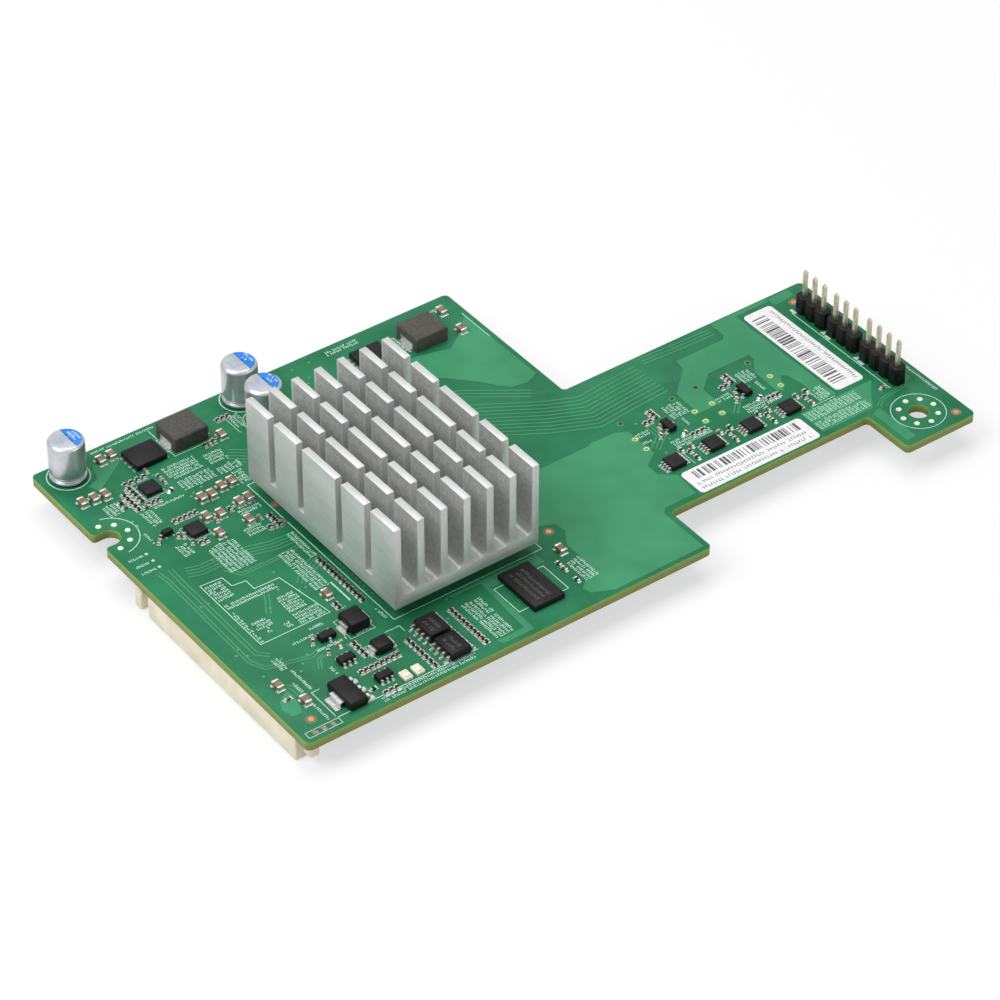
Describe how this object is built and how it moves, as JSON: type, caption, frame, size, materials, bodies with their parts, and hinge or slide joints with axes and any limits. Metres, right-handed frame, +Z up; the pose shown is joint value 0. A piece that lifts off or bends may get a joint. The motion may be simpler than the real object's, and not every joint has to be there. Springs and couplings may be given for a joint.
{
  "type": "sas mezzanine card",
  "caption": "Stepped green circuit board on a slotted board-to-board connector, with a finned heat sink, power parts, small chips and a pin header on a narrow arm.",
  "frame": {"origin": "middle of the board's outline in plan, in the plane of the connector's mating face beneath the board", "axes": "+X along the card from the connector edge to the end of the arm, +Y towards the edge with the can capacitors, +Z up from the connector through the board to the heat sink"},
  "size_m": [0.1364, 0.0808, 0.0243],
  "materials": {
    "board_laminate": "satin green solder mask over copper pours",
    "sink_metal": "matte natural extrusion, sawn cuts",
    "thermal_pad": "matte",
    "chip_mould": "matte black moulding",
    "chip_substrate": "satin green laminate",
    "can_metal": "satin bright with a blue printed segment",
    "can_bung": "matte",
    "tinned_metal": "satin tin",
    "inductor_core": "matte pressed ferrite",
    "lamp_body": "satin white",
    "lamp_lens": "clear pale resin",
    "ceramic_tan": "satin tan",
    "solder_ends": "bright solder",
    "resistor_film": "satin black film",
    "header_plastic": "matte black moulding",
    "gold_metal": "thin gold plating",
    "connector_plastic": "matte cream moulding",
    "label_paper": null
  },
  "bodies": {
    "root": {"capacitor_bung_1": "can_bung", "capacitor_bung_2": "can_bung", "capacitor_bung_3": "can_bung", "capacitor_can_1": "can_metal", "capacitor_can_2": "can_metal", "capacitor_can_3": "can_metal", "capacitor_leads_1": "tinned_metal", "capacitor_leads_2": "tinned_metal", "capacitor_leads_3": "tinned_metal", "ceramic_capacitor_ends": "solder_ends", "ceramic_capacitors": "ceramic_tan", "chip_resistor_ends": "solder_ends", "chip_resistors": "resistor_film", "circuit_board": "board_laminate", "connector_contacts": "gold_metal", "connector_housing": "connector_plastic", "controller_lid": "chip_mould", "controller_substrate": "chip_substrate", "driver_chip_1": "chip_mould", "driver_chip_2": "chip_mould", "driver_leads_1": "tinned_metal", "driver_leads_2": "tinned_metal", "header_housing_1": "header_plastic", "header_housing_2": "header_plastic", "header_housing_3": "header_plastic", "header_pins_1": "gold_metal", "header_pins_2": "gold_metal", "header_pins_3": "gold_metal", "heat_sink": "sink_metal", "inductor_1": "inductor_core", "inductor_2": "inductor_core", "inductor_terminals_1": "tinned_metal", "inductor_terminals_2": "tinned_metal", "long_label": "label_paper", "memory_chip": "chip_mould", "port_chip_1": "chip_mould", "port_chip_2": "chip_mould", "port_chip_3": "chip_mould", "port_chip_4": "chip_mould", "port_leads_1": "tinned_metal", "port_leads_2": "tinned_metal", "port_leads_3": "tinned_metal", "port_leads_4": "tinned_metal", "power_switch_1": "chip_mould", "power_switch_2": "chip_mould", "power_switch_pads": "tinned_metal", "rectifier_1": "chip_mould", "rectifier_2": "chip_mould", "rectifier_leads_1": "tinned_metal", "rectifier_leads_2": "tinned_metal", "regulator": "chip_mould", "regulator_leads": "tinned_metal", "square_chip_1": "chip_mould", "square_chip_2": "chip_mould", "status_lamps": "lamp_body", "status_lenses": "lamp_lens", "tall_label": "label_paper", "thermal_pad": "thermal_pad", "transistor_leads": "tinned_metal", "transistors": "chip_mould"}
  },
  "joints": []
}
